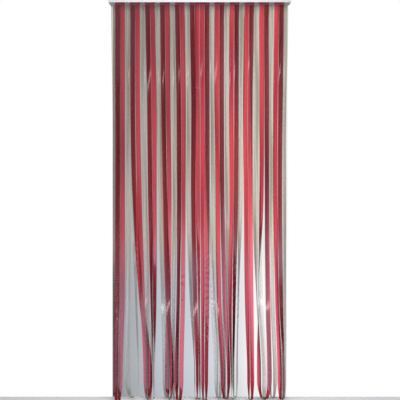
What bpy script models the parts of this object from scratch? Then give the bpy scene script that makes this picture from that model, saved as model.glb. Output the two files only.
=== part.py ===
"""Looped ribbon door curtain, 90 x 200 cm.

Loops of soft PVC ribbon hang in two rows from two rods inside a white header rail.
The front row is red and the rear row is grey.
Metres, +Z up, -Y towards the front. The origin is on the top of the middle bracket.
"""

import math

import bmesh
import bpy
from mathutils import Vector

# Driving dimensions
PITCH = 0.025
PLACES = 36
DROP_BELOW_RAIL = 2.000
RIBBON_WIDTH = 0.024
RIBBON_THICKNESS = 0.0006
RAIL_LENGTH = 0.910
RAIL_DEPTH = 0.052
RAIL_HEIGHT = 0.030
RAIL_WALL = 0.0018
RAIL_TOP_WALL = 0.002
RAIL_BAND = 0.012
RAIL_STEP = 0.001
PORT_HALF_GAP = 0.00225
PORT_RIB = 0.0013
PORT_DEPTH = 0.005
FLANGE_THICKNESS = 0.0015
FLANGE_DRAFT = 0.0003
ROW_OFFSET = 0.013
ROD_RADIUS = 0.002
ROD_ABOVE_LIP = 0.0035
FIT_GAP = 0.0003
BRACKET_THICKNESS = 0.002
BRACKET_WIDTH = 0.030
BRACKET_HOOK = 0.0015
COUNTERSINK_RADIUS = 0.0045
COUNTERSINK_DEPTH = 0.0024
BRACKET_PLACES = {"left": -0.300, "middle": 0.0, "right": 0.300}
LINTEL_HOLE_SPACING = 0.018
SCREW_RADIUS = 0.00195
SCREW_LENGTH = 0.0095
SCREW_TIP = 0.0019
SCREW_HEAD_RADIUS = 0.00375
SCREW_CROWN_RADIUS = 0.0024
SCREW_HEAD_HEIGHT = 0.0024
SCREW_CROWN_HEIGHT = 0.0014
SCREW_HOLE_RADIUS = 0.00225
CAP_THICKNESS = 0.003
BOSS_RADIUS = 0.0034
BOSS_LENGTH = 0.0048
SOCKET_EXTRA = 0.001
COMB_LENGTH = 0.900
COMB_BAR_DEPTH = 0.009
COMB_BAR_HEIGHT = 0.003
COMB_TOOTH_DEPTH = 0.007
HOOK_INNER_RADIUS = 0.0023
HOOK_OUTER_RADIUS = 0.0039
HOOK_TIP_ANGLE = 205.0
HOOK_INNER_END = -115.0
HANGER_WIDTH = 0.049
HANGER_THICKNESS = 0.0032
HANGER_BOTTOM = 0.014
GRIP_WIDTH = 0.0012
GRIP_TOP = 0.0052
ROUND_SIDES = 12
BORE_SIDES = 10
OUTER_HOOK_POINTS = 9
INNER_HOOK_POINTS = 8
SHARP_ANGLE = math.radians(40)
WELD_DISTANCE = 0.00001

# Levels and spans that follow from them
RAIL_TOP = -(BRACKET_THICKNESS + FIT_GAP)
RAIL_BOTTOM = RAIL_TOP - RAIL_HEIGHT
ROD_LEVEL = RAIL_BOTTOM + ROD_ABOVE_LIP
RAIL_CEILING = RAIL_TOP - RAIL_TOP_WALL
RAIL_HALF = RAIL_DEPTH / 2
RAIL_WAIST_HALF = RAIL_HALF - RAIL_STEP
BAND_TOP = RAIL_BOTTOM + RAIL_BAND
PORT_LEVEL = RAIL_CEILING - FIT_GAP - SCREW_RADIUS
BEND_DROP = ROD_LEVEL - RAIL_BOTTOM + DROP_BELOW_RAIL
RIBBON_TOP_DROP = GRIP_TOP + FIT_GAP
BORE_RADIUS = ROD_RADIUS + FIT_GAP
CAP_INNER_FACE = RAIL_LENGTH / 2 + FIT_GAP

# The ribbons' hang: drops below the rod at which each arm's place is set.
# An arm is a list of (sideways sway in mm, turn in degrees) at those drops.
# A turn of 0 faces the front and 90 is edge on, as the ribbon is at its lowest point.
STATION_DROPS = (0.49, 0.99, 1.50, 1.90)
CROSS_DEPTH = 0.006
SETTLE_DROP = 0.10
ARM_PULL = 0.0002
BEND_SHARE = 0.6
LEAST_BEND = 0.007
TURN_SHARE = 0.5
ARM_SPANS = 12
TURN_SPANS = 3
BEND_SPANS = 8

# First place of each loop, how many mm the loop leans sideways, its left arm, its right
# arm, which arm passes behind, and how many mm its bend hangs above the longest loop's
RED_LOOPS = [
    (1, 0.5, [(-0.3, 10), (-0.5, 10), (-3.5, 12), (-11.5, 28)],
     [(0.3, 8), (0.3, 8), (-1, 5), (-12, 10)], "", 0),
    (4, 1.5, [(-0.6, 8), (10, 28), (43, 20), (87, 25)], [(0.2, 8), (9, 0), (26, 0), (40, 25)], "left", 4),
    (7, 1.5, [(9.2, 14), (12.6, 28), (20, 62), (30, 87)],
     [(8.8, 14), (10.4, 25), (11.5, 44), (10.5, 87)], "", 12),
    (10, 1.5, [(3.4, 14), (12, 25), (26, 20), (47, 42)],
     [(3.6, 8), (10, 28), (5, 15), (-2, 20)], "right", 6),
    (13, 1.5, [(6.2, 14), (8.2, 28), (3, 50), (-6, 38)], [(5.8, 14), (5.8, 28), (2, 25), (-6, 20)], "", 2),
    (16, 0.3, [(5.3, 30), (5.7, 15), (15, 5), (26, 56)], [(2.6, 16), (4, 28), (10, 66), (14, 72)], "", 8),
    (18, -0.3, [(2.2, 14), (2.5, 20), (4, 40), (4, 48)], [(1.5, 14), (1.2, 16), (1, 30), (-2.5, 46)], "", 3),
    (21, -1.5, [(0.2, 14), (6, 28), (12, 18), (30, 25)], [(-0.2, 14), (4, 28), (18, 25), (36, 48)], "", 10),
    (24, -1.5, [(-1.6, 14), (0, 28), (-7, 40), (-1, 76)],
     [(-1.4, 8), (-2.6, 28), (-12, 50), (-14, 78)], "", 8),
    (27, -1.5, [(-5.8, 14), (-2.9, 25), (2, 28), (11, 50)],
     [(-6.2, 14), (-5.3, 28), (-0.9, 28), (4.5, 42)], "", 5),
    (30, -1.5, [(2.2, 14), (0, 28), (-15, 84), (-12, 28)], [(1.8, 14), (3, 28), (8, 12), (16, 20)], "", 8),
    (33, -0.5, [(-5.3, 14), (-6.3, 28), (3, 30), (16, 15)],
     [(-5.7, 14), (-8.7, 28), (-1.5, 45), (11, 72)], "", 7),
]
GREY_LOOPS = [
    (0, 0, [(5.4, 55), (6, 60), (6, 60), (6, 60)], [(0.6, 0), (1, 5), (1, 8), (2, 35)], "", 5),
    (3, -1.5, [(0, 10), (4.9, 0), (0, 5), (-2, 10)], [(1, 10), (5.1, 10), (18, 55), (29, 74)], "", 9),
    (6, -1.5, [(3, 0), (12, 0), (24, 20), (25, 55)], [(6, 14), (15, 25), (26, 35), (20, 55)], "", 3),
    (9, -1.5, [(7, 14), (16, 25), (30, 5), (37, 33)], [(7, 14), (17, 25), (31, 25), (35, 44)], "", 12),
    (12, -1.5, [(7.2, 14), (13.7, 28), (7, 41), (6, 51)], [(6.8, 14), (11.3, 28), (6, 41), (1, 45)], "", 6),
    (15, -1.5, [(9.5, 14), (8, 28), (22, 50), (40, 78)], [(9.5, 14), (6, 28), (16, 45), (27, 78)], "", 2),
    (19, 1.5, [(1, 10), (6, 28), (28, 12), (45, 28)], [(3, 5), (7, 0), (20, 10), (44, 28)], "left", 8),
    (22, 1.5, [(-1, 14), (2, 25), (7, 51), (15, 60)], [(0, 14), (2, 28), (4, 70), (10, 70)], "", 4),
    (25, 1.5, [(0.6, 10), (-4.3, 28), (-12, 51), (-19, 60)],
     [(0.4, 14), (-6.7, 28), (-18, 75), (-24, 75)], "", 10),
    (28, 1.5, [(5.7, 14), (12, 28), (27, 72), (46, 75)], [(5.3, 14), (10, 28), (20, 10), (40, 10)], "", 3),
    (31, 1.5, [(0.7, 14), (2, 25), (6, 30), (18, 41)], [(0.3, 14), (1, 28), (6, 42), (19, 44)], "", 7),
    (34, 0, [(-1, 10), (-2, 15), (0.5, 15), (1.9, 35)], [(-6, 55), (-6, 60), (-5.5, 60), (-5.9, 60)], "", 5),
]

# Places that a row's loops leave free, where a comb has its teeth, and places per tooth
FRONT_TEETH = [(0, 1), (3, 1), (6, 1), (9, 1), (12, 1), (15, 1)]
FRONT_TEETH += [(20, 1), (23, 1), (26, 1), (29, 1), (32, 1), (35, 1)]
REAR_TEETH = [(2, 1), (5, 1), (8, 1), (11, 1), (14, 1), (17, 2)]
REAR_TEETH += [(21, 1), (24, 1), (27, 1), (30, 1), (33, 1)]

# Lays a flat outline drawn in (y, z) across the rail, so that it extrudes along X
ACROSS_RAIL = (math.pi / 2, 0.0, math.pi / 2)


def place_x(place):
    """Sideways position of a ribbon place, counted from 0 at the left."""
    return (place - (PLACES - 1) / 2) * PITCH


def clear_scene():
    """Remove what the start-up file holds."""
    for obj in list(bpy.data.objects):
        bpy.data.objects.remove(obj)


def new_collection(name):
    """Collection linked to the scene."""
    collection = bpy.data.collections.new(name)
    bpy.context.scene.collection.children.link(collection)
    return collection


def new_material(name, color, roughness, metallic=0.0, alpha=1.0):
    """Plain Principled material."""
    material = bpy.data.materials.new(name)
    material.use_nodes = True
    shader = material.node_tree.nodes["Principled BSDF"]
    shader.inputs["Base Color"].default_value = (*color, 1.0)
    shader.inputs["Roughness"].default_value = roughness
    shader.inputs["Metallic"].default_value = metallic
    shader.inputs["Alpha"].default_value = alpha
    return material


def new_object(name, data, collection, material, parent=None, location=(0.0, 0.0, 0.0)):
    """Object of some data, with its material, linked to a collection."""
    obj = bpy.data.objects.new(name, data)
    if not data.materials:
        data.materials.append(material)
    obj.parent = parent
    obj.location = location
    collection.objects.link(obj)
    return obj


def outline_curve(name, outline, length):
    """Closed 2D curve through (y, z) points, extruded to a length."""
    curve = bpy.data.curves.new(name, "CURVE")
    curve.dimensions = "2D"
    curve.fill_mode = "BOTH"
    curve.extrude = length / 2
    spline = curve.splines.new("POLY")
    spline.points.add(len(outline) - 1)
    for point, (across, up) in zip(spline.points, outline):
        point.co = (across, up, 0.0, 1.0)
    spline.use_cyclic_u = True
    return curve


def mesh_from_curve(obj):
    """Replace a curve object by a closed mesh object of the same name and place."""
    name = obj.name
    collection = obj.users_collection[0]
    bpy.context.view_layer.update()
    evaluated = obj.evaluated_get(bpy.context.evaluated_depsgraph_get())
    mesh = bpy.data.meshes.new_from_object(evaluated)
    bm = bmesh.new()
    bm.from_mesh(mesh)
    bmesh.ops.remove_doubles(bm, verts=bm.verts, dist=WELD_DISTANCE)
    bmesh.ops.recalc_face_normals(bm, faces=bm.faces)
    bm.to_mesh(mesh)
    bm.free()
    made = bpy.data.objects.new(name, mesh)
    made.matrix_world = obj.matrix_world
    bpy.data.objects.remove(obj)
    made.name = name
    collection.objects.link(made)
    return made


def extruded_mesh(name, outline, length, centre_x, collection, material):
    """Solid with an outline in (y, z), along X about centre_x, as a mesh."""
    curve = outline_curve(name, outline, length)
    obj = new_object(name, curve, collection, material, location=(centre_x, 0.0, 0.0))
    obj.rotation_euler = ACROSS_RAIL
    return mesh_from_curve(obj)


def cylinder(
    name,
    radius,
    length,
    centre,
    axis,
    collection,
    material=None,
    sides=ROUND_SIDES,
    tip_radius=None,
):
    """Cylinder, or a cone where tip_radius is given, centred on a point along an axis."""
    mesh = bpy.data.meshes.new(name)
    bm = bmesh.new()
    bmesh.ops.create_cone(
        bm,
        cap_ends=True,
        segments=sides,
        radius1=radius,
        radius2=radius if tip_radius is None else tip_radius,
        depth=length,
    )
    bm.to_mesh(mesh)
    bm.free()
    if material is not None:
        mesh.materials.append(material)
    obj = bpy.data.objects.new(name, mesh)
    obj.rotation_euler = Vector(axis).to_track_quat("Z", "Y").to_euler()
    obj.location = centre
    collection.objects.link(obj)
    return obj


def box(name, low, high, collection):
    """Box between two corners."""
    mesh = bpy.data.meshes.new(name)
    bm = bmesh.new()
    bmesh.ops.create_cube(bm, size=1.0)
    size = Vector(high) - Vector(low)
    bmesh.ops.scale(bm, verts=bm.verts, vec=size)
    bm.to_mesh(mesh)
    bm.free()
    obj = bpy.data.objects.new(name, mesh)
    obj.location = (Vector(low) + Vector(high)) / 2
    collection.objects.link(obj)
    return obj


def combine(target, tool, operation):
    """Boolean of a tool piece on a target, with the tool kept as a wire guide."""
    modifier = target.modifiers.new(tool.name, "BOOLEAN")
    modifier.operation = operation
    modifier.object = tool
    tool.hide_render = True
    tool.display_type = "WIRE"


def arc_points(radius, start, end, count):
    """Points (y, z) on an arc about the origin, angles in degrees from +Y towards +Z."""
    points = []
    for step in range(count):
        angle = math.radians(start + (end - start) * step / (count - 1))
        points.append((radius * math.cos(angle), radius * math.sin(angle)))
    return points


def rail_outline():
    """Outer corners shared by the rail and its end caps, from lower rear round to lower front."""
    rear = [
        (RAIL_HALF, RAIL_BOTTOM),
        (RAIL_HALF, BAND_TOP),
        (RAIL_WAIST_HALF, BAND_TOP + RAIL_STEP),
        (RAIL_WAIST_HALF, RAIL_TOP - FLANGE_THICKNESS - FLANGE_DRAFT),
        (RAIL_HALF, RAIL_TOP - FLANGE_THICKNESS),
        (RAIL_HALF, RAIL_TOP),
    ]
    front = [(-across, up) for across, up in reversed(rear)]
    return rear + front


def build_rail(parts, white):
    """Aluminium channel, open below, with a port under its top wall for the cap screws."""
    inner_waist = RAIL_WAIST_HALF - RAIL_WALL
    inner_band = RAIL_HALF - RAIL_WALL
    port_bottom = RAIL_CEILING - PORT_DEPTH
    port_outer = PORT_HALF_GAP + PORT_RIB
    front = [
        (-inner_band, RAIL_BOTTOM),
        (-inner_band, BAND_TOP),
        (-inner_waist, BAND_TOP + RAIL_STEP),
        (-inner_waist, RAIL_CEILING),
        (-port_outer, RAIL_CEILING),
        (-port_outer, port_bottom),
        (-PORT_HALF_GAP, port_bottom),
        (-PORT_HALF_GAP, RAIL_CEILING),
    ]
    rear = [(-across, up) for across, up in reversed(front)]
    outline = rail_outline() + front + rear
    extruded_mesh("header_rail", outline, RAIL_LENGTH, 0.0, parts, white)


def build_end_cap(side, sign, parts, cutters, white):
    """Moulded cap over one end of the rail, with two sockets for the rods."""
    centre_x = sign * (CAP_INNER_FACE + CAP_THICKNESS / 2)
    cap = extruded_mesh(f"end_cap_{side}", rail_outline(), CAP_THICKNESS, centre_x, parts, white)
    boss_root = CAP_INNER_FACE + CAP_THICKNESS / 2
    boss_tip = CAP_INNER_FACE - BOSS_LENGTH
    bore_length = BOSS_LENGTH + 2 * SOCKET_EXTRA
    for facing, row in (("front", -1), ("rear", 1)):
        centre = (sign * (boss_root + boss_tip) / 2, row * ROW_OFFSET, ROD_LEVEL)
        name = f"cap_boss_{side}_{facing}"
        boss = cylinder(name, BOSS_RADIUS, boss_root - boss_tip, centre, (1, 0, 0), cutters)
        combine(cap, boss, "UNION")
        centre = (sign * (CAP_INNER_FACE - BOSS_LENGTH / 2), row * ROW_OFFSET, ROD_LEVEL)
        name = f"cap_bore_{side}_{facing}"
        bore = cylinder(name, BORE_RADIUS, bore_length, centre, (1, 0, 0), cutters, sides=BORE_SIDES)
        combine(cap, bore, "DIFFERENCE")
    centre = (centre_x, 0.0, PORT_LEVEL)
    name = f"cap_hole_{side}"
    hole = cylinder(name, SCREW_HOLE_RADIUS, 3 * CAP_THICKNESS, centre, (1, 0, 0), cutters)
    combine(cap, hole, "DIFFERENCE")


def build_cap_screw(side, sign, parts, steel):
    """Pan-head screw through an end cap into the rail's port."""
    profile = [
        (0.0, SCREW_HEAD_HEIGHT),
        (SCREW_CROWN_RADIUS, SCREW_HEAD_HEIGHT),
        (SCREW_HEAD_RADIUS, SCREW_HEAD_HEIGHT - SCREW_CROWN_HEIGHT),
        (SCREW_HEAD_RADIUS, 0.0),
        (SCREW_RADIUS, 0.0),
        (SCREW_RADIUS, SCREW_TIP - SCREW_LENGTH),
        (0.0, -SCREW_LENGTH),
    ]
    mesh = bpy.data.meshes.new(f"cap_screw_{side}")
    points = [(radius, 0.0, height) for radius, height in profile]
    edges = [(k, k + 1) for k in range(len(points) - 1)]
    mesh.from_pydata(points, edges, [])
    seat_x = CAP_INNER_FACE + CAP_THICKNESS + FIT_GAP
    location = (sign * seat_x, 0.0, PORT_LEVEL)
    screw = new_object(f"cap_screw_{side}", mesh, parts, steel, location=location)
    screw.rotation_euler = (0.0, sign * math.pi / 2, 0.0)
    turn = screw.modifiers.new("turn", "SCREW")
    turn.axis = "Z"
    turn.steps = ROUND_SIDES
    turn.render_steps = ROUND_SIDES
    turn.use_merge_vertices = True
    turn.merge_threshold = WELD_DISTANCE


def build_bracket(side, centre_x, parts, cutters, steel):
    """Spring clip over the rail's flanges, screwed up to the lintel by two countersunk holes."""
    inner = RAIL_HALF + FIT_GAP
    outer = inner + BRACKET_THICKNESS
    hook_inner = RAIL_WAIST_HALF + FIT_GAP
    hook_top = RAIL_TOP - FLANGE_THICKNESS - FLANGE_DRAFT - FIT_GAP
    hook_bottom = hook_top - BRACKET_HOOK
    rear = [
        (hook_inner, hook_bottom),
        (outer, hook_bottom),
        (outer, 0.0),
    ]
    under = [
        (-inner, hook_top),
        (-inner, -BRACKET_THICKNESS),
        (inner, -BRACKET_THICKNESS),
        (inner, hook_top),
        (hook_inner, hook_top),
    ]
    front = [(-across, up) for across, up in reversed(rear)]
    outline = rear + front + [(-hook_inner, hook_top)] + under
    bracket = extruded_mesh(f"lintel_bracket_{side}", outline, BRACKET_WIDTH, centre_x, parts, steel)
    for name, sign in (("a", -1), ("b", 1)):
        hole_x = centre_x + sign * LINTEL_HOLE_SPACING / 2
        centre = (hole_x, 0.0, -BRACKET_THICKNESS / 2)
        hole = cylinder(
            f"lintel_hole_{side}_{name}",
            COUNTERSINK_RADIUS,
            COUNTERSINK_DEPTH,
            centre,
            (0, 0, 1),
            cutters,
            tip_radius=SCREW_HOLE_RADIUS,
        )
        combine(bracket, hole, "DIFFERENCE")


def build_rods(parts, steel):
    """Two plated steel rods, held by the end caps."""
    length = RAIL_LENGTH - FIT_GAP
    for name, sign in (("front_rod", -1), ("rear_rod", 1)):
        centre = (0.0, sign * ROW_OFFSET, ROD_LEVEL)
        rod = cylinder(name, ROD_RADIUS, length, centre, (1, 0, 0), parts, steel)
        rod.data.shade_smooth()
        rod.data.set_sharp_from_angle(angle=SHARP_ANGLE)


def build_comb(name, row_y, teeth, parts, cutters, nylon):
    """Nylon comb above a rod: its teeth carry the rod and keep the hangers at their places."""
    bar_top = RAIL_CEILING - FIT_GAP
    bar_bottom = bar_top - COMB_BAR_HEIGHT
    low = (-COMB_LENGTH / 2, row_y - COMB_BAR_DEPTH / 2, bar_bottom)
    high = (COMB_LENGTH / 2, row_y + COMB_BAR_DEPTH / 2, bar_top)
    comb = box(name, low, high, parts)
    comb.data.materials.append(nylon)
    for place, places in teeth:
        middle_x = place_x(place + (places - 1) / 2)
        half = places * PITCH / 2
        low = (middle_x - half, row_y - COMB_TOOTH_DEPTH / 2, ROD_LEVEL - BOSS_RADIUS)
        high = (middle_x + half, row_y + COMB_TOOTH_DEPTH / 2, bar_top - COMB_BAR_HEIGHT / 2)
        tooth = box(f"{name}_tooth_{place:02d}", low, high, cutters)
        combine(comb, tooth, "UNION")
    centre = (0.0, row_y, ROD_LEVEL)
    bore = cylinder(f"{name}_bore", BORE_RADIUS, RAIL_LENGTH, centre, (1, 0, 0), cutters, sides=BORE_SIDES)
    combine(comb, bore, "DIFFERENCE")


def hanger_outline():
    """Snap hook over the rod, and below it a plate slotted for the ribbon's ends."""
    half = HANGER_THICKNESS / 2
    slot = GRIP_WIDTH / 2
    rear_shoulder = math.degrees(math.acos(half / HOOK_OUTER_RADIUS))
    outline = arc_points(HOOK_OUTER_RADIUS, -rear_shoulder, HOOK_TIP_ANGLE, OUTER_HOOK_POINTS)
    outline += arc_points(HOOK_INNER_RADIUS, HOOK_TIP_ANGLE, HOOK_INNER_END, INNER_HOOK_POINTS)
    outline += [
        (-half, -HOOK_OUTER_RADIUS * math.sin(math.radians(rear_shoulder))),
        (-half, -HANGER_BOTTOM),
        (-slot, -HANGER_BOTTOM),
        (-slot, -GRIP_TOP),
        (slot, -GRIP_TOP),
        (slot, -HANGER_BOTTOM),
        (half, -HANGER_BOTTOM),
    ]
    return outline


def eased(drops, values, drop):
    """Value at a drop on the smooth line through the stations, level at both ends."""
    if drop >= drops[-1]:
        return values[-1]
    last = len(drops) - 1
    slopes = [0.0] * len(drops)
    for k in range(1, last):
        slopes[k] = (values[k + 1] - values[k - 1]) / (drops[k + 1] - drops[k - 1])
    k = 0
    while drop > drops[k + 1]:
        k += 1
    span = drops[k + 1] - drops[k]
    t = max(0.0, (drop - drops[k]) / span)
    start = (2 * t**3 - 3 * t**2 + 1) * values[k] + (t**3 - 2 * t**2 + t) * span * slopes[k]
    end = (3 * t**2 - 2 * t**3) * values[k + 1] + (t**3 - t**2) * span * slopes[k + 1]
    return start + end


def arm_starts(lean):
    """Sideways places of a loop's two arms below the hanger, where they draw together."""
    half = PITCH / 2 - ARM_PULL
    return lean / 1000 - half, lean / 1000 + half


def loop_bend(lean, left, right, lift):
    """Middle, width and arc of a loop's bend, to which its arms close in below the last station."""
    left_start, right_start = arm_starts(lean)
    left_end = left_start + left[-1][0] / 1000
    right_end = right_start + right[-1][0] / 1000
    half = abs(right_end - left_end) / 2
    narrow = min(half, max(BEND_SHARE * half, LEAST_BEND))
    lowest = BEND_DROP - lift / 1000
    start = lowest - narrow
    slant = math.atan(2 * (half - narrow) / (start - STATION_DROPS[-1]))
    radius = narrow / math.cos(slant)
    return {
        "middle": (left_end + right_end) / 2,
        "closing": 1.0 - narrow / half,
        "side": math.copysign(1.0, left_end - right_end),
        "slant": slant,
        "radius": radius,
        "start": lowest - radius * (1.0 - math.sin(slant)),
    }


def arm_place(arm, top_x, start_x, depth, drop, bend):
    """Centre (x, y) and turn in degrees of one arm at a drop below the rod."""
    t = min(1.0, max(0.0, (drop - HANGER_BOTTOM) / (SETTLE_DROP - HANGER_BOTTOM)))
    start_x = top_x + (start_x - top_x) * (3 * t**2 - 2 * t**3)
    drops = (HANGER_BOTTOM, *STATION_DROPS)
    sways = (0.0, *[sway / 1000 for sway, turn in arm])
    turns = (0.0, *[turn for sway, turn in arm])
    depths = (0.0, 0.0, 0.0, depth, depth / 2)
    x = start_x + eased(drops, sways, drop)
    y = eased(drops, depths, drop)
    turn = eased(drops, turns, drop)
    if drop > STATION_DROPS[-1]:
        t = (drop - STATION_DROPS[-1]) / (bend["start"] - STATION_DROPS[-1])
        blend = 3 * t**2 - 2 * t**3
        x += (bend["middle"] - x) * bend["closing"] * t**2
        y *= 1.0 - blend
        turn += TURN_SHARE * (90.0 - turn) * blend
    return x, y, turn


def across_ribbon(turn):
    """Direction across a ribbon from its first arm's outer edge, for a turn in degrees."""
    return Vector((math.cos(math.radians(turn)), math.sin(math.radians(turn)), 0.0))


def ribbon_rows(lean, left, right, behind, lift):
    """Rows (centre, width direction) along one ribbon, down its left arm and up its right."""
    left_start, right_start = arm_starts(lean)
    depth = {"": 0.0, "left": CROSS_DEPTH, "right": -CROSS_DEPTH}[behind]
    bend = loop_bend(lean, left, right, lift)
    last = STATION_DROPS[-1]
    drops = [RIBBON_TOP_DROP, HANGER_BOTTOM, SETTLE_DROP / 2, SETTLE_DROP]
    for step in range(1, ARM_SPANS + 1):
        drops.append(HANGER_BOTTOM + (last - HANGER_BOTTOM) * step / ARM_SPANS)
    for step in range(1, TURN_SPANS + 1):
        drops.append(last + (bend["start"] - last) * step / TURN_SPANS)
    down, up = [], []
    for drop in drops:
        x, y, left_turn = arm_place(left, -PITCH / 2, left_start, depth, drop, bend)
        down.append((Vector((x, y, -drop)), across_ribbon(left_turn)))
        x, y, right_turn = arm_place(right, PITCH / 2, right_start, -depth, drop, bend)
        up.append((Vector((x, y, -drop)), across_ribbon(180.0 - right_turn)))
    arc = []
    for step in range(1, BEND_SPANS):
        share = step / BEND_SPANS
        angle = bend["slant"] + (math.pi - 2 * bend["slant"]) * share
        x = bend["middle"] + bend["side"] * bend["radius"] * math.cos(angle)
        z = -bend["start"] - bend["radius"] * (math.sin(angle) - math.sin(bend["slant"]))
        turn = left_turn + (180.0 - right_turn - left_turn) * share
        arc.append((Vector((x, 0.0, z)), across_ribbon(turn)))
    return down + arc + up[::-1]


def ribbon_mesh(name, rows):
    """Strip one cell wide laid along the rows, before it is given its thickness."""
    mesh = bpy.data.meshes.new(name)
    bm = bmesh.new()
    bmesh.ops.create_grid(bm, x_segments=1, y_segments=len(rows) - 1, size=0.5)
    for vert in bm.verts:
        centre, across = rows[round((vert.co.y + 0.5) * (len(rows) - 1))]
        side = 1.0 if vert.co.x > 0 else -1.0
        vert.co = centre + across * side * RIBBON_WIDTH / 2
    bm.to_mesh(mesh)
    bm.free()
    return mesh


def build_row(colour, loops, row_y, hanger_curve, parts, material):
    """One row of loops: a pivot on the rod for each, carrying its hanger and its ribbon."""
    for number, (place, lean, left, right, behind, lift) in enumerate(loops, 1):
        pivot = bpy.data.objects.new(f"{colour}_pivot_{number:02d}", None)
        pivot.location = (place_x(place + 0.5), row_y, ROD_LEVEL)
        parts.objects.link(pivot)
        hanger_name = f"{colour}_hanger_{number:02d}"
        hanger = new_object(hanger_name, hanger_curve, parts, material, parent=pivot)
        hanger.rotation_euler = ACROSS_RAIL
        ribbon_name = f"{colour}_ribbon_{number:02d}"
        mesh = ribbon_mesh(ribbon_name, ribbon_rows(lean, left, right, behind, lift))
        ribbon = new_object(ribbon_name, mesh, parts, material, parent=pivot)
        thickness = ribbon.modifiers.new("thickness", "SOLIDIFY")
        thickness.thickness = RIBBON_THICKNESS
        thickness.offset = 0.0


def build_curtain():
    """The whole part."""
    clear_scene()
    parts = new_collection("ribbon_door_curtain")
    cutters = new_collection("cutters")
    cutters.hide_render = True
    white = new_material("white_lacquer", (0.86, 0.87, 0.87), 0.35)
    steel = new_material("zinc_plated_steel", (0.62, 0.63, 0.64), 0.3, metallic=1.0)
    nylon = new_material("white_nylon", (0.80, 0.80, 0.78), 0.45)
    red = new_material("red_pvc", (0.42, 0.03, 0.06), 0.15, alpha=0.85)
    grey = new_material("grey_pvc", (0.38, 0.35, 0.31), 0.15, alpha=0.8)
    build_rail(parts, white)
    build_end_cap("left", -1, parts, cutters, white)
    build_end_cap("right", 1, parts, cutters, white)
    build_cap_screw("left", -1, parts, steel)
    build_cap_screw("right", 1, parts, steel)
    for side, centre_x in BRACKET_PLACES.items():
        build_bracket(side, centre_x, parts, cutters, steel)
    build_rods(parts, steel)
    build_comb("front_comb", -ROW_OFFSET, FRONT_TEETH, parts, cutters, nylon)
    build_comb("rear_comb", ROW_OFFSET, REAR_TEETH, parts, cutters, nylon)
    red_hook = outline_curve("red_hanger", hanger_outline(), HANGER_WIDTH)
    grey_hook = outline_curve("grey_hanger", hanger_outline(), HANGER_WIDTH)
    build_row("red", RED_LOOPS, -ROW_OFFSET, red_hook, parts, red)
    build_row("grey", GREY_LOOPS, ROW_OFFSET, grey_hook, parts, grey)


build_curtain()
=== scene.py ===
"""Looped ribbon door curtain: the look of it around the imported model.

Loops of glossy, clear tinted PVC ribbon hang in two rows from a white lacquered rail.
Metres, +Z up, -Y towards the front. The frame's origin is on top of the middle bracket.
"""

import math

import bmesh
import bpy
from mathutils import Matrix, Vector, noise


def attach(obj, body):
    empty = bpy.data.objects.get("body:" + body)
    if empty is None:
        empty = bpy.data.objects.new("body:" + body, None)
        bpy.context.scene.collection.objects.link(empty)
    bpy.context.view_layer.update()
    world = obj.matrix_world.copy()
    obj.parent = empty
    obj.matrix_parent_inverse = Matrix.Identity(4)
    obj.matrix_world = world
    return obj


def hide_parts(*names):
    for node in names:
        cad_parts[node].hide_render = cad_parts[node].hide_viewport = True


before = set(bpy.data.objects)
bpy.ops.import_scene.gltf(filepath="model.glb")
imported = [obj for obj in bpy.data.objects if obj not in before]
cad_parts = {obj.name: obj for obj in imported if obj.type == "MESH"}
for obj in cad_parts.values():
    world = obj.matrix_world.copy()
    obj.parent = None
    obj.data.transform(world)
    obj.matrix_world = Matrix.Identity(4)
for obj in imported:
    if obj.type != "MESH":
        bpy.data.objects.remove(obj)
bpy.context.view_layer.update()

# Places and levels that the model was drawn from
PITCH = 0.025
PLACES = 36
LOOPS = 12
RIBBON_WIDTH = 0.024
RIBBON_THICKNESS = 0.0006
ROW_OFFSET = 0.013
ROD_LEVEL = -0.0288
BEND_DROP = 2.0035
HANGER_BOTTOM = 0.014
RIBBON_TOP_DROP = 0.0055
STATION_DROPS = (0.49, 0.99, 1.50, 1.90)
CROSS_DEPTH = 0.006
SETTLE_DROP = 0.10
ARM_PULL = 0.0002
BEND_SHARE = 0.6
LEAST_BEND = 0.007
TURN_SHARE = 0.5

# How finely a ribbon is laid out
CELLS_ACROSS = 6
ROW_STEP = 0.012
CRINKLE_STEP = 0.0025
BEND_ROWS = 24
SMOOTH_ANGLE = 50

# Slow unevenness of a hanging ribbon: depth, sway and curl in metres, turn in degrees,
# rates in changes per metre of drop, and the drops where it sets in and dies away
WAVE_DEPTH = 0.0016
WAVE_SWAY = 0.0002
WAVE_TURN = 7.0
WAVE_RATE = 4.5
WAVE_FULL_DROP = 0.12
WAVE_FADE_DROPS = (1.80, 1.90)
CURL = 0.0009
CURL_RATE = 1.5
CURL_FULL_DROP = 0.08

# Short ripples of a crinkled stretch
CRINKLE_FADE = 0.05
CRINKLE_LEAST = 0.6
CRINKLE_SPREAD = 0.8
CRINKLE_RATE = 30.0
SLANT_RATE = 12.0
SLANT = 400.0
JUMBLE = 2.2
JUMBLE_RATES = (3.17, 55.0, 110.0)

# Steps from an arm's seed that keep its kinds of unevenness apart
DEPTH_SEED = 40
TURN_SEED = 80
CURL_SEED = 120
CRINKLE_SEED = 9
SLANT_SEED = 5
GREY_SEED = 20
RIGHT_SEED = 0.5

# How far the film's pattern moves on from one ribbon of a row to the next, in metres
PATTERN_STEP = 0.37

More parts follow.
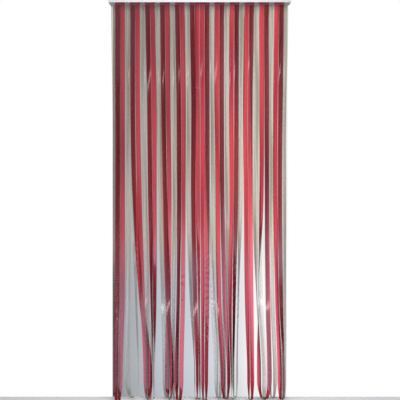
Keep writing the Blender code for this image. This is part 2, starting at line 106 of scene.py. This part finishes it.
# First place of each loop, how many mm the loop leans sideways, its left arm, its right
# arm, which arm passes behind, and how many mm its bend hangs above the longest loop's.
# An arm is (sideways sway in mm, turn in degrees) at each station drop.
RED_LOOPS = [
    (1, 0.5, [(-0.3, 10), (-0.5, 10), (-3.5, 12), (-11.5, 28)],
     [(0.3, 8), (0.3, 8), (-1, 5), (-12, 10)], "", 0),
    (4, 1.5, [(-0.6, 8), (10, 28), (43, 20), (87, 25)],
     [(0.2, 8), (9, 0), (26, 0), (40, 25)], "left", 4),
    (7, 1.5, [(9.2, 14), (12.6, 28), (20, 62), (30, 87)],
     [(8.8, 14), (10.4, 25), (11.5, 44), (10.5, 87)], "", 12),
    (10, 1.5, [(3.4, 14), (12, 25), (26, 20), (47, 42)],
     [(3.6, 8), (10, 28), (5, 15), (-2, 20)], "right", 6),
    (13, 1.5, [(6.2, 14), (8.2, 28), (3, 50), (-6, 38)],
     [(5.8, 14), (5.8, 28), (2, 25), (-6, 20)], "", 2),
    (16, 0.3, [(5.3, 30), (5.7, 15), (15, 5), (26, 56)],
     [(2.6, 16), (4, 28), (10, 66), (14, 72)], "", 8),
    (18, -0.3, [(2.2, 14), (2.5, 20), (4, 40), (4, 48)],
     [(1.5, 14), (1.2, 16), (1, 30), (-2.5, 46)], "", 3),
    (21, -1.5, [(0.2, 14), (6, 28), (12, 18), (30, 25)],
     [(-0.2, 14), (4, 28), (18, 25), (36, 48)], "", 10),
    (24, -1.5, [(-1.6, 14), (0, 28), (-7, 40), (-1, 76)],
     [(-1.4, 8), (-2.6, 28), (-12, 50), (-14, 78)], "", 8),
    (27, -1.5, [(-5.8, 14), (-2.9, 25), (2, 28), (11, 50)],
     [(-6.2, 14), (-5.3, 28), (-0.9, 28), (4.5, 42)], "", 5),
    (30, -1.5, [(2.2, 14), (0, 28), (-15, 84), (-12, 28)],
     [(1.8, 14), (3, 28), (8, 12), (16, 20)], "", 8),
    (33, -0.5, [(-5.3, 14), (-6.3, 28), (3, 30), (16, 15)],
     [(-5.7, 14), (-8.7, 28), (-1.5, 45), (11, 72)], "", 7),
]
GREY_LOOPS = [
    (0, 0, [(5.4, 55), (6, 60), (6, 60), (6, 60)],
     [(0.6, 0), (1, 5), (1, 8), (2, 35)], "", 5),
    (3, -1.5, [(0, 10), (4.9, 0), (0, 5), (-2, 10)],
     [(1, 10), (5.1, 10), (18, 55), (29, 74)], "", 9),
    (6, -1.5, [(3, 0), (12, 0), (24, 20), (25, 55)],
     [(6, 14), (15, 25), (26, 35), (20, 55)], "", 3),
    (9, -1.5, [(7, 14), (16, 25), (30, 5), (37, 33)],
     [(7, 14), (17, 25), (31, 25), (35, 44)], "", 12),
    (12, -1.5, [(7.2, 14), (13.7, 28), (7, 41), (6, 51)],
     [(6.8, 14), (11.3, 28), (6, 41), (1, 45)], "", 6),
    (15, -1.5, [(9.5, 14), (8, 28), (22, 50), (40, 78)],
     [(9.5, 14), (6, 28), (16, 45), (27, 78)], "", 2),
    (19, 1.5, [(1, 10), (6, 28), (28, 12), (45, 28)],
     [(3, 5), (7, 0), (20, 10), (44, 28)], "left", 8),
    (22, 1.5, [(-1, 14), (2, 25), (7, 51), (15, 60)],
     [(0, 14), (2, 28), (4, 70), (10, 70)], "", 4),
    (25, 1.5, [(0.6, 10), (-4.3, 28), (-12, 51), (-19, 60)],
     [(0.4, 14), (-6.7, 28), (-18, 75), (-24, 75)], "", 10),
    (28, 1.5, [(5.7, 14), (12, 28), (27, 72), (46, 75)],
     [(5.3, 14), (10, 28), (20, 10), (40, 10)], "", 3),
    (31, 1.5, [(0.7, 14), (2, 25), (6, 30), (18, 41)],
     [(0.3, 14), (1, 28), (6, 42), (19, 44)], "", 7),
    (34, 0, [(-1, 10), (-2, 15), (0.5, 15), (1.9, 35)],
     [(-6, 55), (-6, 60), (-5.5, 60), (-5.9, 60)], "", 5),
]

# Crinkled stretches, where the soft ribbon took a set while it was packed:
# (row, loop, arm) to a list of (from drop, to drop, ripple length in mm, ripple height in mm)
CRINKLES = {
    ("red", 1, "left"): [(1.33, 1.62, 14, 0.98)],
    ("red", 2, "left"): [(1.20, 1.45, 34, 0.91)],
    ("red", 5, "right"): [(1.34, 1.56, 40, 0.8)],
    ("red", 6, "right"): [(0.38, 0.52, 18, 0.65), (1.20, 1.50, 34, 0.91)],
    ("red", 7, "left"): [(0.36, 0.52, 16, 0.78)],
    ("red", 7, "right"): [(1.24, 1.74, 32, 1.2)],
    ("red", 8, "right"): [(0.30, 0.50, 40, 1.04)],
    ("red", 9, "left"): [(0.24, 0.38, 44, 1.17)],
    ("red", 9, "right"): [(1.25, 1.58, 36, 1.04)],
    ("red", 12, "left"): [(0.30, 0.48, 26, 0.78)],
    ("grey", 5, "left"): [(1.45, 1.70, 30, 0.91)],
    ("grey", 6, "left"): [(1.45, 1.65, 30, 0.91)],
    ("grey", 7, "left"): [(1.40, 1.66, 34, 0.91)],
    ("grey", 9, "right"): [(1.40, 1.68, 34, 0.91)],
}

# Camera and floor
CAMERA_DISTANCE = 3.2
FRAME_WIDTH = 2.02
CAMERA_X = 0.002
CAMERA_Z = -1.024
SENSOR_WIDTH = 36.0
FLOOR_Z = -2.036
FLOOR_WIDTH = 4.0
FLOOR_FRONT = -2.2
FLOOR_REAR = 0.06

# Half the backdrop's width at the curtain, and the slopes that the camera sees it at
DOORWAY_HALF = 0.441
DOORWAY_SLOPE = DOORWAY_HALF / CAMERA_DISTANCE
VIEW_SLOPE = 0.32
DOORWAY_BLUR = 0.001

# Backdrop behind the curtain: shades from left to right, above and below the middle,
# and its strength from the bottom to the top. The shades rise to the right as painted light
# falling from that side, and the strength drops at the very top as painted shade under the rail.
UPPER_SHADES = (
    (0.0, "aaaaac"),
    (0.09, "c4c4c5"),
    (0.27, "cecfd0"),
    (0.5, "e2e3e4"),
    (0.75, "f8f9f9"),
    (1.0, "ffffff"),
)
LOWER_SHADES = (
    # The first stops paint a narrow dark strip at the doorway's left edge: a painted shadow of the
    # door frame
    (0.0, "141416"),
    (0.01, "141416"),
    (0.016, "8e9094"),
    (0.09, "a9adb0"),
    (0.27, "bec5cd"),
    (0.44, "cbd0d8"),
    (0.56, "d2d6de"),
    (0.72, "e2e4e6"),
    (0.81, "fbf8f8"),
    (1.0, "fdfdfd"),
)
LOWER_STARTS = 0.42
LOWER_FULL = 0.28
BACKDROP_PAINTED_SHADE = (
    (0.0, 0.9), (0.1, 1.0), (0.5, 0.97), (0.75, 0.9), (0.944, 0.78), (0.963, 0.74), (0.985, 0.3),
)
# The room in front of it, as the gloss sees it: from floor to ceiling and from side to side
ROOM_LEVELS = (
    (0.0, 0.7), (0.1, 0.75), (0.2, 0.85), (0.33, 0.6), (0.42, 0.24), (0.52, 0.18), (1.0, 0.17),
)
ROOM_SIDES = ((0.0, 0.32), (0.35, 0.54), (0.65, 0.7), (1.0, 0.7))
ROOM_COLOUR = (2.75, 2.65, 3.5, 1.0)
WHITE = (1.0, 1.0, 1.0, 1.0)
SOFT_LIGHT = (0.95, 0.97, 1.0, 1.0)
SOFT_LIGHT_STRENGTH = 0.35

# Lamps: name, place, target, size, power in watts, and whether the ribbons mirror it
LAMPS = (
    ("rail_wash", (0.0, -0.5, 0.35), (0.0, 0.0, -0.02), (1.0, 0.05), 4, True),
    ("low_softbox", (0.4, -1.2, -1.6), (0.1, 0.0, -1.6), (1.6, 0.9), 10, False),
    ("low_glint", (0.2, -0.9, -1.72), (0.2, 0.0, -1.5), (0.8, 0.03), 0.45, True),
    ("floor_wash", (0.0, -1.0, -1.3), (0.0, -0.1, -2.03), (2.4, 0.3), 12, False),
    ("high_glint", (0.62, -2.4, 0.08), (0.3, 0.0, -0.4), (0.3, 0.12), 0.45, True),
)


def linear(code):
    """Linear RGBA of an sRGB hex colour."""
    parts = [int(code[k : k + 2], 16) / 255 for k in (0, 2, 4)]
    return (*[c / 12.92 if c <= 0.04045 else ((c + 0.055) / 1.055) ** 2.4 for c in parts], 1.0)


def add_node(tree, kind, settings=None, **sockets):
    """A node with its settings, and each named socket set to a value or linked from a socket."""
    node = tree.nodes.new(f"ShaderNode{kind}")
    for name, value in (settings or {}).items():
        setattr(node, name, value)
    for name, value in sockets.items():
        key = int(name[1:]) if name[1:].isdigit() else name.replace("_", " ")
        socket = node.inputs[key]
        if isinstance(value, bpy.types.NodeSocket):
            tree.links.new(value, socket)
        else:
            socket.default_value = value
    return node


def add_math(tree, operation, *values):
    """Result of a math node."""
    sockets = {f"_{k}": value for k, value in enumerate(values)}
    return add_node(tree, "Math", {"operation": operation}, **sockets).outputs[0]


def remap(tree, level, settings=None, **limits):
    """Result of a map range node."""
    return add_node(tree, "MapRange", settings, Value=level, **limits).outputs[0]


def blend_colours(tree, share, first, second, blend_type="MIX"):
    """Result of a colour mix node."""
    settings = {"data_type": "RGBA", "blend_type": blend_type}
    return add_node(tree, "Mix", settings, _0=share, _6=first, _7=second).outputs[2]


def multiply_colours(tree, first, second):
    """One colour through another."""
    return blend_colours(tree, 1.0, first, second, "MULTIPLY")


def mix_shaders(tree, share, first, second):
    """Result of a shader mix node."""
    sockets = {"_1": first.outputs[0], "_2": second.outputs[0]}
    return add_node(tree, "MixShader", Fac=share, **sockets)


def stretched_noise(tree, place, repeats, detail):
    """Level of a noise pattern with so many repeats per metre along each axis of a place."""
    stretched = add_node(tree, "Mapping", Vector=place, Scale=repeats)
    pattern = add_node(tree, "TexNoise", Vector=stretched.outputs[0], Scale=1.0, Detail=detail)
    return pattern.outputs[0]


def add_ramp(tree, level, stops):
    """Colour ramp over a 0 to 1 level; a stop is (position, sRGB hex or a plain value)."""
    ramp = add_node(tree, "ValToRGB", Fac=level)
    elements = ramp.color_ramp.elements
    while len(elements) < len(stops):
        elements.new(0.5)
    for element, (position, shade) in zip(elements, stops):
        element.position = position
        element.color = linear(shade) if isinstance(shade, str) else (shade, shade, shade, 1.0)
    return ramp.outputs["Color"]


def start_material(name):
    """An empty node material, its tree and the Surface socket of its output."""
    material = bpy.data.materials.new(name)
    material.use_nodes = True
    material.node_tree.nodes.clear()
    output = add_node(material.node_tree, "OutputMaterial")
    return material, material.node_tree, output.inputs["Surface"]


def film_material(name, tints, body_colour, body_share):
    """Clear tinted soft PVC film, calendered and slit into ribbon.

    It lets most light straight through, coloured, and mirrors lamps sharply.
    tints are those of plain film, a streak, a cloud, the painted shade along the edges and film seen
    aslant.
    Each ray crosses two faces, so a tint is the square root of the whole ribbon's, and
    body_share is the share of light that the pigment scatters at each face.
    """
    plain, streak, cloud, cut, deep = [linear(code) for code in tints]
    material, tree, surface = start_material(name)
    uv = add_node(tree, "UVMap", {"uv_map": "ribbon"}).outputs["UV"]
    # Streaks along the ribbon from the calender, a few millimetres apart
    streaks = stretched_noise(tree, uv, (420.0, 2.2, 1.0), 3.0)
    streaked = remap(tree, streaks, From_Min=0.38, From_Max=0.62)
    tint = blend_colours(tree, streaked, plain, streak)
    # Broad clouds, where the film came out thicker or two plies lie together
    clouds = stretched_noise(tree, uv, (45.0, 1.3, 1.0), 1.0)
    clouded = remap(tree, clouds, From_Min=0.42, From_Max=0.66)
    tint = blend_colours(tree, clouded, tint, cloud)
    # Painted shade along the edges of each face, standing in for light that the cut edges carry out
    # of the film, over a strip drawn wide enough to show
    across = add_node(tree, "SeparateXYZ", Vector=uv).outputs["X"]
    from_middle = add_math(tree, "ABSOLUTE", across)
    half, strip = RIBBON_WIDTH / 2, 0.0018
    edge = remap(tree, from_middle, From_Min=half - strip, From_Max=half)
    tint = blend_colours(tree, edge, tint, cut)
    # Seen aslant, light has a longer way through the film and comes out deeper
    facing = add_node(tree, "LayerWeight", Blend=0.5).outputs["Facing"]
    slanted = remap(tree, facing, From_Min=0.12, From_Max=0.85)
    tint = blend_colours(tree, slanted, tint, deep)
    clear = add_node(tree, "BsdfTransparent", Color=tint)
    # Shallow lines that the rollers drew along the film, a few to a ribbon
    lines = stretched_noise(tree, uv, (240.0, 7.0, 1.0), 1.0)
    bump = add_node(tree, "Bump", Strength=0.3, Distance=0.0006, Height=lines).outputs[0]
    rough = remap(tree, streaks, To_Min=0.07, To_Max=0.14)
    body = add_node(
        tree,
        "BsdfPrincipled",
        Base_Color=linear(body_colour),
        Roughness=rough,
        IOR=1.54,
        Normal=bump,
    )
    film = mix_shaders(tree, body_share, clear, body)
    # Gloss rises at a glancing angle
    steep = add_math(tree, "POWER", facing, 4.0)
    shine = remap(tree, steep, To_Min=0.09, To_Max=0.7)
    gloss = add_node(tree, "BsdfGlossy", Roughness=rough, Normal=bump)
    whole = mix_shaders(tree, shine, film, gloss)
    tree.links.new(whole.outputs[0], surface)
    return material


def solid_material(name, colours, roughness, repeats, metallic=0.0):
    """An opaque finish: two close colours and a roughness range over a grain, with its bump.

    repeats is how often the grain repeats per metre along X, Y and Z.
    """
    material, tree, surface = start_material(name)
    place = add_node(tree, "TexCoord").outputs["Object"]
    grain = stretched_noise(tree, place, repeats, 4.0)
    level = remap(tree, grain, From_Min=0.3, From_Max=0.7)
    colour = blend_colours(tree, level, linear(colours[0]), linear(colours[1]))
    rough = remap(tree, grain, To_Min=roughness[0], To_Max=roughness[1])
    relief = add_node(tree, "Bump", Strength=0.4, Distance=0.0001, Height=grain)
    shader = add_node(
        tree,
        "BsdfPrincipled",
        Base_Color=colour,
        Roughness=rough,
        Metallic=metallic,
        IOR=1.5,
        Normal=relief.outputs[0],
    )
    tree.links.new(shader.outputs[0], surface)
    return material


def place_x(place):
    """Sideways position of a ribbon place, counted from 0 at the left."""
    return (place - (PLACES - 1) / 2) * PITCH


def eased(drops, values, drop):
    """Value at a drop on the smooth line through the stations, level at both ends."""
    if drop >= drops[-1]:
        return values[-1]
    last = len(drops) - 1
    slopes = [0.0] * len(drops)
    for k in range(1, last):
        slopes[k] = (values[k + 1] - values[k - 1]) / (drops[k + 1] - drops[k - 1])
    k = 0
    while drop > drops[k + 1]:
        k += 1
    span = drops[k + 1] - drops[k]
    t = max(0.0, (drop - drops[k]) / span)
    start = (2 * t**3 - 3 * t**2 + 1) * values[k] + (t**3 - 2 * t**2 + t) * span * slopes[k]
    end = (3 * t**2 - 2 * t**3) * values[k + 1] + (t**3 - t**2) * span * slopes[k + 1]
    return start + end


def smooth_step(low, high, value):
    """Smooth rise from 0 at low to 1 at high."""
    t = min(1.0, max(0.0, (value - low) / (high - low)))
    return t * t * (3 - 2 * t)


def wander(seed, drop, rate):
    """Slow unevenness from -1 to 1 along an arm, the same in every run."""
    return noise.noise(Vector((seed * 7.31, drop * rate, seed * 1.93)))


def arm_starts(lean):
    """Sideways places of a loop's two arms below the hanger, where they draw together."""
    half = PITCH / 2 - ARM_PULL
    return lean / 1000 - half, lean / 1000 + half


def loop_bend(lean, left, right, lift):
    """Middle, width and arc of a loop's bend, to which its arms close in below the last station."""
    left_start, right_start = arm_starts(lean)
    left_end = left_start + left[-1][0] / 1000
    right_end = right_start + right[-1][0] / 1000
    half = abs(right_end - left_end) / 2
    narrow = min(half, max(BEND_SHARE * half, LEAST_BEND))
    lowest = BEND_DROP - lift / 1000
    start = lowest - narrow
    slant = math.atan(2 * (half - narrow) / (start - STATION_DROPS[-1]))
    radius = narrow / math.cos(slant)
    return {
        "middle": (left_end + right_end) / 2,
        "closing": 1.0 - narrow / half,
        "side": math.copysign(1.0, left_end - right_end),
        "slant": slant,
        "radius": radius,
        "start": lowest - radius * (1.0 - math.sin(slant)),
    }


def arm_place(arm, top_x, start_x, depth, drop, bend, seed):
    """Centre (x, y) and turn in degrees of one arm at a drop below the rod."""
    start_x = top_x + (start_x - top_x) * smooth_step(HANGER_BOTTOM, SETTLE_DROP, drop)
    drops = (HANGER_BOTTOM, *STATION_DROPS)
    sways = (0.0, *[sway / 1000 for sway, turn in arm])
    turns = (0.0, *[turn for sway, turn in arm])
    depths = (0.0, 0.0, 0.0, depth, depth / 2)
    free = smooth_step(HANGER_BOTTOM, WAVE_FULL_DROP, drop)
    free *= 1 - smooth_step(*WAVE_FADE_DROPS, drop)
    x = start_x + eased(drops, sways, drop)
    x += WAVE_SWAY * free * wander(seed, drop, WAVE_RATE)
    y = eased(drops, depths, drop)
    y += WAVE_DEPTH * free * wander(seed + DEPTH_SEED, drop, WAVE_RATE)
    turn = eased(drops, turns, drop)
    turn += WAVE_TURN * free * wander(seed + TURN_SEED, drop, WAVE_RATE)
    if drop > STATION_DROPS[-1]:
        t = (drop - STATION_DROPS[-1]) / (bend["start"] - STATION_DROPS[-1])
        blend = smooth_step(0.0, 1.0, t)
        x += (bend["middle"] - x) * bend["closing"] * t**2
        y *= 1.0 - blend
        turn += TURN_SHARE * (90.0 - turn) * blend
    return x, y, turn


def across_ribbon(turn):
    """Direction across a ribbon from its first arm's outer edge, for a turn in degrees."""
    return Vector((math.cos(math.radians(turn)), math.sin(math.radians(turn)), 0.0))


def crinkle(ripples, drop, across, seed):
    """Height of the short ripples at a point of an arm."""
    height = 0.0
    for start, stop, length, amplitude in ripples:
        fade = smooth_step(start, start + CRINKLE_FADE, drop)
        fade *= 1 - smooth_step(stop - CRINKLE_FADE, stop, drop)
        if fade > 0.0:
            uneven = wander(seed + CRINKLE_SEED, drop, CRINKLE_RATE)
            slant = SLANT * across * wander(seed + SLANT_SEED, drop, SLANT_RATE)
            spot = [rate * value for rate, value in zip(JUMBLE_RATES, (seed, drop, across))]
            jumble = JUMBLE * noise.noise(Vector(spot))
            phase = 2 * math.pi * drop * 1000 / length + slant + jumble
            share = CRINKLE_LEAST + CRINKLE_SPREAD * uneven
            height += amplitude / 1000 * fade * share * math.sin(phase)
    return height


def arm_drops(ripples, bend_start):
    """Drops at which an arm has rows: close together where it is crinkled."""
    drops = [RIBBON_TOP_DROP, HANGER_BOTTOM]
    while drops[-1] < bend_start:
        drop = drops[-1]
        fine = any(start - ROW_STEP < drop < stop for start, stop, length, amplitude in ripples)
        drops.append(drop + (CRINKLE_STEP if fine else ROW_STEP))
    drops[-1] = bend_start
    return drops


def arm_rows(arm, start_x, depth, bend, ripples, seed, sign, steps):
    """Rows of points down one arm, and the turn of the last. sign is 1 for the left arm."""
    top_x = -sign * PITCH / 2
    rows = []
    for drop in arm_drops(ripples, bend["start"]):
        x, y, turn = arm_place(arm, top_x, start_x, sign * depth, drop, bend, seed)
        # Round the bend the ribbon turns over, so on the right arm its other face looks forward
        along_turn = turn if sign > 0 else 180.0 - turn
        width = across_ribbon(along_turn)
        normal = across_ribbon(along_turn - 90.0)
        free = smooth_step(HANGER_BOTTOM, CURL_FULL_DROP, drop)
        curl = CURL * free * (0.5 + wander(seed + CURL_SEED, drop, CURL_RATE))
        curl *= 1 - smooth_step(STATION_DROPS[-1], bend["start"], drop)
        row = []
        for across in steps:
            bulge = 1 - 3 * (across / (RIBBON_WIDTH / 2)) ** 2
            height = curl * bulge / 2 + crinkle(ripples, drop, across, seed)
            row.append(Vector((x, y, -drop)) + width * across + normal * height)
        rows.append(row)
    return rows, along_turn


def ribbon_rows(colour, number, lean, left, right, behind, lift):
    """Rows of points across one ribbon, down its left arm, round its bend and up its right."""
    depth = {"": 0.0, "left": CROSS_DEPTH, "right": -CROSS_DEPTH}[behind]
    bend = loop_bend(lean, left, right, lift)
    steps = [(2 * k / CELLS_ACROSS - 1) * RIBBON_WIDTH / 2 for k in range(CELLS_ACROSS + 1)]
    left_x, right_x = arm_starts(lean)
    seed = number + (0 if colour == "red" else GREY_SEED)
    ripples = [CRINKLES.get((colour, number, side), []) for side in ("left", "right")]
    down, first_turn = arm_rows(left, left_x, depth, bend, ripples[0], seed, 1, steps)
    seed += RIGHT_SEED
    up, last_turn = arm_rows(right, right_x, depth, bend, ripples[1], seed, -1, steps)
    arc = []
    for step in range(1, BEND_ROWS):
        share = step / BEND_ROWS
        angle = bend["slant"] + (math.pi - 2 * bend["slant"]) * share
        x = bend["middle"] + bend["side"] * bend["radius"] * math.cos(angle)
        z = -bend["start"] - bend["radius"] * (math.sin(angle) - math.sin(bend["slant"]))
        width = across_ribbon(first_turn + (last_turn - first_turn) * share)
        arc.append([Vector((x, 0.0, z)) + width * across for across in steps])
    return down + arc + up[::-1]


def ribbon_mesh(name, rows, pivot, pattern_start):
    """One layer of quads through the rows, with metres across and along as its UV map."""
    mesh = bpy.data.meshes.new(name)
    bm = bmesh.new()
    layer = bm.loops.layers.uv.new("ribbon")
    grid = [[bm.verts.new(pivot + point) for point in row] for row in rows]
    middle = CELLS_ACROSS // 2
    along = pattern_start
    for row, next_row in zip(grid, grid[1:]):
        next_along = along + (next_row[middle].co - row[middle].co).length
        for k in range(CELLS_ACROSS):
            face = bm.faces.new((row[k], next_row[k], next_row[k + 1], row[k + 1]))
            face.smooth = True
            corners = ((k, along), (k, next_along), (k + 1, next_along), (k + 1, along))
            for loop, (cell, v) in zip(face.loops, corners):
                loop[layer].uv = ((cell / CELLS_ACROSS - 0.5) * RIBBON_WIDTH, v)
        along = next_along
    bm.to_mesh(mesh)
    bm.free()
    return mesh


def build_ribbon(colour, number, place, lean, left, right, behind, lift, material):
    """One ribbon loop, in the place of its CAD solid."""
    rows = ribbon_rows(colour, number, lean, left, right, behind, lift)
    row_y = -ROW_OFFSET if colour == "red" else ROW_OFFSET
    pivot = Vector((place_x(place + 0.5), row_y, ROD_LEVEL))
    name = f"{colour}_loop_{number:02d}_film"
    mesh = ribbon_mesh(name, rows, pivot, PATTERN_STEP * number)
    mesh.materials.append(material)
    ribbon = bpy.data.objects.new(name, mesh)
    bpy.context.scene.collection.objects.link(ribbon)
    solid = ribbon.modifiers.new("thickness", "SOLIDIFY")
    solid.thickness = RIBBON_THICKNESS
    solid.offset = 0.0
    bpy.ops.object.select_all(action="DESELECT")
    bpy.context.view_layer.objects.active = ribbon
    ribbon.select_set(True)
    bpy.ops.object.modifier_apply(modifier=solid.name)
    bpy.ops.object.shade_smooth_by_angle(angle=math.radians(SMOOTH_ANGLE))
    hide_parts(f"{colour}_ribbon_{number:02d}")
    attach(ribbon, f"{colour}_loop_{number:02d}")


def dress_nodes(names, material):
    """One finish on some of the model's own solids."""
    for name in names:
        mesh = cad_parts[name].data
        mesh.materials.clear()
        mesh.materials.append(material)


def add_floor():
    """A plain pale floor just below the bends, which the gloss doesn't mirror."""
    bpy.ops.mesh.primitive_plane_add(size=1.0, location=(0.0, 0.0, 0.0))
    floor = bpy.context.active_object
    floor.name = "studio_floor"
    for vert in floor.data.vertices:
        vert.co.x *= FLOOR_WIDTH
        vert.co.y = FLOOR_FRONT if vert.co.y < 0 else FLOOR_REAR
        vert.co.z = FLOOR_Z
    material, tree, surface = start_material("pale_floor")
    place = add_node(tree, "TexCoord").outputs["Object"]
    pattern = add_node(tree, "TexNoise", Vector=place, Scale=3.0).outputs[0]
    colour = blend_colours(tree, pattern, linear("eef0f2"), linear("f4f5f6"))
    shader = add_node(tree, "BsdfDiffuse", Color=colour)
    tree.links.new(shader.outputs[0], surface)
    floor.data.materials.append(material)
    floor.visible_glossy = False


def add_lamp(name, place, target, size, power, mirrored):
    """A rectangular lamp aimed at a target."""
    data = bpy.data.lights.new(name, "AREA")
    data.shape = "RECTANGLE"
    data.size, data.size_y = size
    data.energy = power
    lamp = bpy.data.objects.new(name, data)
    lamp.location = place
    lamp.rotation_euler = (Vector(target) - Vector(place)).to_track_quat("-Z", "Y").to_euler()
    lamp.visible_glossy = mirrored
    bpy.context.scene.collection.objects.link(lamp)


def lit_through(tree, through, colour, between, film):
    """A backdrop colour, scaled one way where it shows between ribbons, another through film, where
    the higher scale is painted backlight.
    """
    scale = blend_colours(tree, through, (*between, 1.0), (*film, 1.0))
    return multiply_colours(tree, colour, scale)


def doorway_view(tree, path, slope_x, across, height):
    """What shows behind the curtain: a pale doorway with painted light, brightest to the right and
    darkened at the top by painted shade, and white beside it.
    """
    # Painted backlight: the backdrop shows brighter through the film than between the ribbons, as if
    # lit from behind
    through = add_math(tree, "GREATER_THAN", path["Transparent Depth"], 0.5)
    upper = add_ramp(tree, across, UPPER_SHADES)
    upper = lit_through(tree, through, upper, (0.85, 0.85, 0.85), (2.05, 2.05, 2.05))
    lower = add_ramp(tree, across, LOWER_SHADES)
    lower = lit_through(tree, through, lower, (1.0, 1.0, 1.0), (1.95, 2.1, 2.4))
    smooth = {"interpolation_type": "SMOOTHSTEP"}
    low = remap(tree, height, smooth, From_Min=LOWER_STARTS, From_Max=LOWER_FULL)
    painted_shade = add_ramp(tree, height, BACKDROP_PAINTED_SHADE)
    doorway = multiply_colours(tree, blend_colours(tree, low, upper, lower), painted_shade)
    beside = lit_through(tree, through, WHITE, (1.0, 1.0, 1.0), (2.0, 2.1, 2.2))
    outside = remap(
        tree,
        add_math(tree, "ABSOLUTE", slope_x),
        From_Min=DOORWAY_SLOPE - DOORWAY_BLUR,
        From_Max=DOORWAY_SLOPE + DOORWAY_BLUR,
    )
    return blend_colours(tree, outside, doorway, beside)


def room_view(tree, path, across, height):
    """What shows in front of the curtain: white, but to its gloss a dim room with a bright floor."""
    room = add_ramp(tree, height, ROOM_LEVELS)
    room = multiply_colours(tree, room, add_ramp(tree, across, ROOM_SIDES))
    room = multiply_colours(tree, room, ROOM_COLOUR)
    return blend_colours(tree, path["Is Glossy Ray"], WHITE, room)


def add_world():
    """Even soft light, and where a ray looks straight at it a view of the surroundings."""
    world = bpy.data.worlds.new("studio")
    bpy.context.scene.world = world
    world.use_nodes = True
    tree = world.node_tree
    tree.nodes.clear()
    output = add_node(tree, "OutputWorld")
    path = add_node(tree, "LightPath").outputs
    direction = add_node(tree, "TexCoord").outputs["Generated"]
    parts = add_node(tree, "SeparateXYZ", Vector=direction).outputs
    ahead = parts["Y"]
    slope_x = add_math(tree, "DIVIDE", parts["X"], ahead)
    slope_z = add_math(tree, "DIVIDE", parts["Z"], add_math(tree, "ABSOLUTE", ahead))
    across = remap(tree, slope_x, From_Min=-DOORWAY_SLOPE, From_Max=DOORWAY_SLOPE)
    height = remap(tree, slope_z, From_Min=-VIEW_SLOPE, From_Max=VIEW_SLOPE)
    rear = doorway_view(tree, path, slope_x, across, height)
    front = room_view(tree, path, across, height)
    seen = blend_colours(tree, add_math(tree, "LESS_THAN", ahead, 0.0), rear, front)
    direct = add_math(tree, "MAXIMUM", path["Is Camera Ray"], path["Is Glossy Ray"])
    looks = add_math(tree, "MAXIMUM", direct, path["Is Transmission Ray"])
    light = add_node(tree, "Background", Color=SOFT_LIGHT, Strength=SOFT_LIGHT_STRENGTH)
    view = add_node(tree, "Background", Color=seen, Strength=1.0)
    both = mix_shaders(tree, looks, light, view)
    tree.links.new(both.outputs[0], output.inputs["Surface"])


def add_camera():
    """The photo's view, level and straight from the front."""
    data = bpy.data.cameras.new("camera")
    data.sensor_width = SENSOR_WIDTH
    data.lens = data.sensor_width * CAMERA_DISTANCE / FRAME_WIDTH
    camera = bpy.data.objects.new("camera", data)
    camera.location = (CAMERA_X, -CAMERA_DISTANCE, CAMERA_Z)
    camera.rotation_euler = (math.pi / 2, 0.0, 0.0)
    bpy.context.scene.collection.objects.link(camera)
    bpy.context.scene.camera = camera


# Clear red soft PVC: a bright jewel red where light comes through one ribbon
red_film = film_material(
    "clear_red_pvc_film", ("df868c", "d77d84", "c06c74", "c2757d", "782b42"), "e04658", 0.04
)
# Clear smoke PVC: warm grey, it darkens red to wine where it hangs behind it
grey_film = film_material(
    "clear_smoke_pvc_film", ("d9d7d0", "d2cec6", "bbb7ac", "c5c1ba", "8a8384"), "e6eae6", 0.08
)
# Polyester powder lacquer on extruded aluminium: faint lengthwise die lines, satin
lacquer = solid_material(
    "satin_white_lacquer_on_aluminium", ("e6e9ea", "f0f2f2"), (0.28, 0.42), (8, 500, 500)
)
# Injection-moulded ABS: an even, finely sparked surface
white_abs = solid_material("moulded_white_abs", ("e2e4e3", "eceeec"), (0.38, 0.5), (400,) * 3)
# Natural nylon: slightly creamy and waxy
nylon = solid_material("natural_nylon", ("dddcd2", "e8e6dc"), (0.35, 0.5), (250,) * 3)
# Bright zinc plate on steel: cloudy patches and fine rolling lines
zinc = solid_material(
    "bright_zinc_plate", ("b4b8bc", "cfd2d4"), (0.2, 0.4), (60, 900, 900), metallic=1.0
)
# Moulded rigid PVC in the ribbons' colours
red_clip = solid_material("moulded_red_pvc", ("a8384a", "b44456"), (0.25, 0.35), (300,) * 3)
grey_clip = solid_material("moulded_grey_pvc", ("dcd5cb", "e6dfd5"), (0.25, 0.35), (300,) * 3)

dress_nodes(["header_rail"], lacquer)
dress_nodes(["end_cap_left", "end_cap_right"], white_abs)
dress_nodes(["front_comb", "rear_comb"], nylon)
dress_nodes(["front_rod", "rear_rod", "cap_screw_left", "cap_screw_right"], zinc)
dress_nodes([f"lintel_bracket_{side}" for side in ("left", "middle", "right")], zinc)
for colour, clip, film, loops in (
    ("red", red_clip, red_film, RED_LOOPS),
    ("grey", grey_clip, grey_film, GREY_LOOPS),
):
    dress_nodes([f"{colour}_hanger_{number:02d}" for number in range(1, LOOPS + 1)], clip)
    for number, (place, lean, left, right, behind, lift) in enumerate(loops, 1):
        build_ribbon(colour, number, place, lean, left, right, behind, lift, film)

add_floor()
for lamp in LAMPS:
    add_lamp(*lamp)
add_world()
add_camera()
bpy.context.scene.view_settings.view_transform = "Standard"
